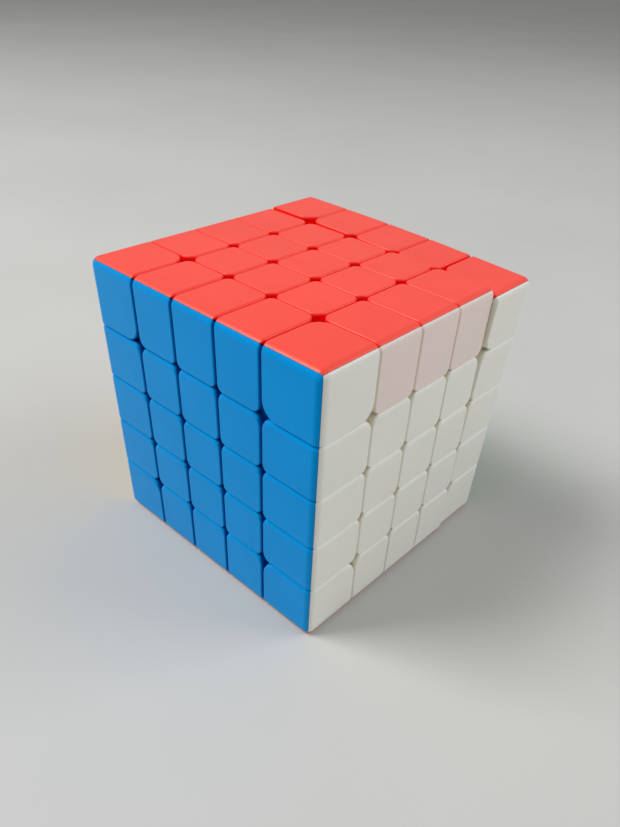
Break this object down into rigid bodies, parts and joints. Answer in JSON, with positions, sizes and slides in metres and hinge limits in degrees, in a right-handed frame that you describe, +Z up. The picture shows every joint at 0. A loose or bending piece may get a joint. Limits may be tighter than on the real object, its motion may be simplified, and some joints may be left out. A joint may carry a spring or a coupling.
{
  "type": "twisty puzzle cube",
  "caption": "Stickerless twisty puzzle cube whose layers turn about a central core; feet under the coloured pieces hook beneath their neighbours.",
  "frame": {"origin": "centre of the bottom face, where the cube rests on a table", "axes": "+Z up through the red face, +X out of the white face, -Y out of the blue face"},
  "size_m": [0.0632, 0.062, 0.0626],
  "materials": {
    "red_plastic": "satin coloured plastic",
    "orange_plastic": "satin coloured plastic",
    "blue_plastic": "satin coloured plastic",
    "green_plastic": "satin coloured plastic",
    "white_plastic": "satin white plastic, slightly translucent",
    "yellow_plastic": "satin coloured plastic",
    "core_plastic": "dark moulded plastic",
    "steel": "plated steel"
  },
  "bodies": {
    "core": {"core_spider": "core_plastic", "screw_right": "steel", "screw_left": "steel", "screw_back": "steel", "screw_front": "steel", "screw_top": "steel", "screw_bottom": "steel", "spring_right": "steel", "spring_left": "steel", "spring_back": "steel", "spring_front": "steel", "spring_top": "steel", "spring_bottom": "steel"},
    "face_right": {"centres_right_middle": "white_plastic"},
    "face_left": {"centres_left_middle": "yellow_plastic"},
    "face_back": {"centres_back_middle": "green_plastic"},
    "face_front": {"centres_front_middle": "blue_plastic"},
    "face_top": {"centres_top": "red_plastic"},
    "face_bottom": {"centres_bottom": "orange_plastic"},
    "row_upper_front": {"centres_front_upper": "blue_plastic"},
    "row_upper_right": {"centres_right_upper": "white_plastic"},
    "row_upper_back": {"centres_back_upper": "green_plastic"},
    "row_upper_left": {"centres_left_upper": "yellow_plastic"},
    "row_lower_front": {"centres_front_lower": "blue_plastic"},
    "row_lower_right": {"centres_right_lower": "white_plastic"},
    "row_lower_back": {"centres_back_lower": "green_plastic"},
    "row_lower_left": {"centres_left_lower": "yellow_plastic"},
    "edge_top_front": {"edge_top_front": "blue_plastic"},
    "edge_top_back": {"edge_top_back": "green_plastic"},
    "edge_top_right": {"edge_top_right": "white_plastic"},
    "edge_top_left": {"edge_top_left": "yellow_plastic"},
    "edge_bottom_front": {"edge_bottom_front": "blue_plastic"},
    "edge_bottom_back": {"edge_bottom_back": "green_plastic"},
    "edge_bottom_right": {"edge_bottom_right": "white_plastic"},
    "edge_bottom_left": {"edge_bottom_left": "yellow_plastic"},
    "midge_front_right": {"midge_front_right": "white_plastic"},
    "wing_upper_front_right": {"wing_upper_front_right": "white_plastic"},
    "wing_lower_front_right": {"wing_lower_front_right": "white_plastic"},
    "midge_front_left": {"midge_front_left": "yellow_plastic"},
    "wing_upper_front_left": {"wing_upper_front_left": "yellow_plastic"},
    "wing_lower_front_left": {"wing_lower_front_left": "yellow_plastic"},
    "midge_back_right": {"midge_back_right": "white_plastic"},
    "wing_upper_back_right": {"wing_upper_back_right": "white_plastic"},
    "wing_lower_back_right": {"wing_lower_back_right": "white_plastic"},
    "midge_back_left": {"midge_back_left": "yellow_plastic"},
    "wing_upper_back_left": {"wing_upper_back_left": "yellow_plastic"},
    "wing_lower_back_left": {"wing_lower_back_left": "yellow_plastic"},
    "corner_top_front_right": {"corner_top_front_right": "red_plastic"},
    "corner_top_front_left": {"corner_top_front_left": "red_plastic"},
    "corner_top_back_right": {"corner_top_back_right": "red_plastic"},
    "corner_top_back_left": {"corner_top_back_left": "red_plastic"},
    "corner_bottom_front_right": {"corner_bottom_front_right": "orange_plastic"},
    "corner_bottom_front_left": {"corner_bottom_front_left": "orange_plastic"},
    "corner_bottom_back_right": {"corner_bottom_back_right": "orange_plastic"},
    "corner_bottom_back_left": {"corner_bottom_back_left": "orange_plastic"}
  },
  "joints": [
    {"name": "turn_right", "type": "hinge", "parent": "core", "child": "face_right", "pos_m": [0, 0, 0.031], "axis": [1, 0, 0], "continuous": true},
    {"name": "turn_left", "type": "hinge", "parent": "core", "child": "face_left", "pos_m": [0, 0, 0.031], "axis": [1, 0, 0], "continuous": true},
    {"name": "turn_back", "type": "hinge", "parent": "core", "child": "face_back", "pos_m": [0, 0, 0.031], "axis": [0, 1, 0], "continuous": true},
    {"name": "turn_front", "type": "hinge", "parent": "core", "child": "face_front", "pos_m": [0, 0, 0.031], "axis": [0, 1, 0], "continuous": true},
    {"name": "turn_top", "type": "hinge", "parent": "core", "child": "face_top", "pos_m": [0, 0, 0.031], "axis": [0, 0, 1], "continuous": true},
    {"name": "turn_bottom", "type": "hinge", "parent": "core", "child": "face_bottom", "pos_m": [0, 0, 0.031], "axis": [0, 0, 1], "continuous": true},
    {"name": "turn_upper", "type": "hinge", "parent": "face_front", "child": "row_upper_front", "pos_m": [0, 0, 0.031], "axis": [0, 0, 1], "range_deg": [-180, 180]},
    {"name": "row_upper_right_turn", "type": "hinge", "parent": "face_right", "child": "row_upper_right", "pos_m": [0, 0, 0.031], "axis": [0, 0, 1], "range_deg": [-180, 180]},
    {"name": "row_upper_back_turn", "type": "hinge", "parent": "face_back", "child": "row_upper_back", "pos_m": [0, 0, 0.031], "axis": [0, 0, 1], "range_deg": [-180, 180]},
    {"name": "row_upper_left_turn", "type": "hinge", "parent": "face_left", "child": "row_upper_left", "pos_m": [0, 0, 0.031], "axis": [0, 0, 1], "range_deg": [-180, 180]},
    {"name": "turn_lower", "type": "hinge", "parent": "face_front", "child": "row_lower_front", "pos_m": [0, 0, 0.031], "axis": [0, 0, 1], "range_deg": [-180, 180]},
    {"name": "row_lower_right_turn", "type": "hinge", "parent": "face_right", "child": "row_lower_right", "pos_m": [0, 0, 0.031], "axis": [0, 0, 1], "range_deg": [-180, 180]},
    {"name": "row_lower_back_turn", "type": "hinge", "parent": "face_back", "child": "row_lower_back", "pos_m": [0, 0, 0.031], "axis": [0, 0, 1], "range_deg": [-180, 180]},
    {"name": "row_lower_left_turn", "type": "hinge", "parent": "face_left", "child": "row_lower_left", "pos_m": [0, 0, 0.031], "axis": [0, 0, 1], "range_deg": [-180, 180]},
    {"name": "edge_top_front_turn", "type": "hinge", "parent": "face_top", "child": "edge_top_front", "pos_m": [0, 0, 0.031], "axis": [0, 1, 0], "continuous": true},
    {"name": "edge_top_back_turn", "type": "hinge", "parent": "face_top", "child": "edge_top_back", "pos_m": [0, 0, 0.031], "axis": [0, 1, 0], "continuous": true},
    {"name": "edge_top_right_turn", "type": "hinge", "parent": "face_right", "child": "edge_top_right", "pos_m": [0, 0, 0.031], "axis": [0, 0, 1], "continuous": true},
    {"name": "edge_top_left_turn", "type": "hinge", "parent": "face_left", "child": "edge_top_left", "pos_m": [0, 0, 0.031], "axis": [0, 0, 1], "continuous": true},
    {"name": "edge_bottom_front_turn", "type": "hinge", "parent": "face_bottom", "child": "edge_bottom_front", "pos_m": [0, 0, 0.031], "axis": [0, 1, 0], "continuous": true},
    {"name": "edge_bottom_back_turn", "type": "hinge", "parent": "face_bottom", "child": "edge_bottom_back", "pos_m": [0, 0, 0.031], "axis": [0, 1, 0], "continuous": true},
    {"name": "edge_bottom_right_turn", "type": "hinge", "parent": "face_right", "child": "edge_bottom_right", "pos_m": [0, 0, 0.031], "axis": [0, 0, 1], "continuous": true},
    {"name": "edge_bottom_left_turn", "type": "hinge", "parent": "face_left", "child": "edge_bottom_left", "pos_m": [0, 0, 0.031], "axis": [0, 0, 1], "continuous": true},
    {"name": "midge_front_right_turn", "type": "hinge", "parent": "face_front", "child": "midge_front_right", "pos_m": [0, 0, 0.031], "axis": [1, 0, 0], "continuous": true},
    {"name": "wing_upper_front_right_turn", "type": "hinge", "parent": "midge_front_right", "child": "wing_upper_front_right", "pos_m": [0, 0, 0.031], "axis": [0, 0, 1], "range_deg": [-180, 180]},
    {"name": "wing_lower_front_right_turn", "type": "hinge", "parent": "midge_front_right", "child": "wing_lower_front_right", "pos_m": [0, 0, 0.031], "axis": [0, 0, 1], "range_deg": [-180, 180]},
    {"name": "midge_front_left_turn", "type": "hinge", "parent": "face_front", "child": "midge_front_left", "pos_m": [0, 0, 0.031], "axis": [1, 0, 0], "continuous": true},
    {"name": "wing_upper_front_left_turn", "type": "hinge", "parent": "midge_front_left", "child": "wing_upper_front_left", "pos_m": [0, 0, 0.031], "axis": [0, 0, 1], "range_deg": [-180, 180]},
    {"name": "wing_lower_front_left_turn", "type": "hinge", "parent": "midge_front_left", "child": "wing_lower_front_left", "pos_m": [0, 0, 0.031], "axis": [0, 0, 1], "range_deg": [-180, 180]},
    {"name": "midge_back_right_turn", "type": "hinge", "parent": "face_back", "child": "midge_back_right", "pos_m": [0, 0, 0.031], "axis": [1, 0, 0], "continuous": true},
    {"name": "wing_upper_back_right_turn", "type": "hinge", "parent": "midge_back_right", "child": "wing_upper_back_right", "pos_m": [0, 0, 0.031], "axis": [0, 0, 1], "range_deg": [-180, 180]},
    {"name": "wing_lower_back_right_turn", "type": "hinge", "parent": "midge_back_right", "child": "wing_lower_back_right", "pos_m": [0, 0, 0.031], "axis": [0, 0, 1], "range_deg": [-180, 180]},
    {"name": "midge_back_left_turn", "type": "hinge", "parent": "face_back", "child": "midge_back_left", "pos_m": [0, 0, 0.031], "axis": [1, 0, 0], "continuous": true},
    {"name": "wing_upper_back_left_turn", "type": "hinge", "parent": "midge_back_left", "child": "wing_upper_back_left", "pos_m": [0, 0, 0.031], "axis": [0, 0, 1], "range_deg": [-180, 180]},
    {"name": "wing_lower_back_left_turn", "type": "hinge", "parent": "midge_back_left", "child": "wing_lower_back_left", "pos_m": [0, 0, 0.031], "axis": [0, 0, 1], "range_deg": [-180, 180]},
    {"name": "corner_top_front_right_turn", "type": "hinge", "parent": "edge_top_front", "child": "corner_top_front_right", "pos_m": [0, 0, 0.031], "axis": [1, 0, 0], "continuous": true},
    {"name": "corner_top_front_left_turn", "type": "hinge", "parent": "edge_top_front", "child": "corner_top_front_left", "pos_m": [0, 0, 0.031], "axis": [1, 0, 0], "continuous": true},
    {"name": "corner_top_back_right_turn", "type": "hinge", "parent": "edge_top_back", "child": "corner_top_back_right", "pos_m": [0, 0, 0.031], "axis": [1, 0, 0], "continuous": true},
    {"name": "corner_top_back_left_turn", "type": "hinge", "parent": "edge_top_back", "child": "corner_top_back_left", "pos_m": [0, 0, 0.031], "axis": [1, 0, 0], "continuous": true},
    {"name": "corner_bottom_front_right_turn", "type": "hinge", "parent": "edge_bottom_front", "child": "corner_bottom_front_right", "pos_m": [0, 0, 0.031], "axis": [1, 0, 0], "continuous": true},
    {"name": "corner_bottom_front_left_turn", "type": "hinge", "parent": "edge_bottom_front", "child": "corner_bottom_front_left", "pos_m": [0, 0, 0.031], "axis": [1, 0, 0], "continuous": true},
    {"name": "corner_bottom_back_right_turn", "type": "hinge", "parent": "edge_bottom_back", "child": "corner_bottom_back_right", "pos_m": [0, 0, 0.031], "axis": [1, 0, 0], "continuous": true},
    {"name": "corner_bottom_back_left_turn", "type": "hinge", "parent": "edge_bottom_back", "child": "corner_bottom_back_left", "pos_m": [0, 0, 0.031], "axis": [1, 0, 0], "continuous": true}
  ],
  "couplings": [
    {"joint": "row_upper_right_turn", "follows": "turn_upper", "ratio": 1},
    {"joint": "row_upper_back_turn", "follows": "turn_upper", "ratio": 1},
    {"joint": "row_upper_left_turn", "follows": "turn_upper", "ratio": 1},
    {"joint": "row_lower_right_turn", "follows": "turn_lower", "ratio": 1},
    {"joint": "row_lower_back_turn", "follows": "turn_lower", "ratio": 1},
    {"joint": "row_lower_left_turn", "follows": "turn_lower", "ratio": 1},
    {"joint": "edge_top_front_turn", "follows": "turn_front", "ratio": 1},
    {"joint": "edge_top_back_turn", "follows": "turn_back", "ratio": 1},
    {"joint": "edge_top_right_turn", "follows": "turn_top", "ratio": 1},
    {"joint": "edge_top_left_turn", "follows": "turn_top", "ratio": 1},
    {"joint": "edge_bottom_front_turn", "follows": "turn_front", "ratio": 1},
    {"joint": "edge_bottom_back_turn", "follows": "turn_back", "ratio": 1},
    {"joint": "edge_bottom_right_turn", "follows": "turn_bottom", "ratio": 1},
    {"joint": "edge_bottom_left_turn", "follows": "turn_bottom", "ratio": 1},
    {"joint": "midge_front_right_turn", "follows": "turn_right", "ratio": 1},
    {"joint": "wing_upper_front_right_turn", "follows": "turn_upper", "ratio": 1},
    {"joint": "wing_lower_front_right_turn", "follows": "turn_lower", "ratio": 1},
    {"joint": "midge_front_left_turn", "follows": "turn_left", "ratio": 1},
    {"joint": "wing_upper_front_left_turn", "follows": "turn_upper", "ratio": 1},
    {"joint": "wing_lower_front_left_turn", "follows": "turn_lower", "ratio": 1},
    {"joint": "midge_back_right_turn", "follows": "turn_right", "ratio": 1},
    {"joint": "wing_upper_back_right_turn", "follows": "turn_upper", "ratio": 1},
    {"joint": "wing_lower_back_right_turn", "follows": "turn_lower", "ratio": 1},
    {"joint": "midge_back_left_turn", "follows": "turn_left", "ratio": 1},
    {"joint": "wing_upper_back_left_turn", "follows": "turn_upper", "ratio": 1},
    {"joint": "wing_lower_back_left_turn", "follows": "turn_lower", "ratio": 1},
    {"joint": "corner_top_front_right_turn", "follows": "turn_right", "ratio": 1},
    {"joint": "corner_top_front_left_turn", "follows": "turn_left", "ratio": 1},
    {"joint": "corner_top_back_right_turn", "follows": "turn_right", "ratio": 1},
    {"joint": "corner_top_back_left_turn", "follows": "turn_left", "ratio": 1},
    {"joint": "corner_bottom_front_right_turn", "follows": "turn_right", "ratio": 1},
    {"joint": "corner_bottom_front_left_turn", "follows": "turn_left", "ratio": 1},
    {"joint": "corner_bottom_back_right_turn", "follows": "turn_right", "ratio": 1},
    {"joint": "corner_bottom_back_left_turn", "follows": "turn_left", "ratio": 1}
  ]
}
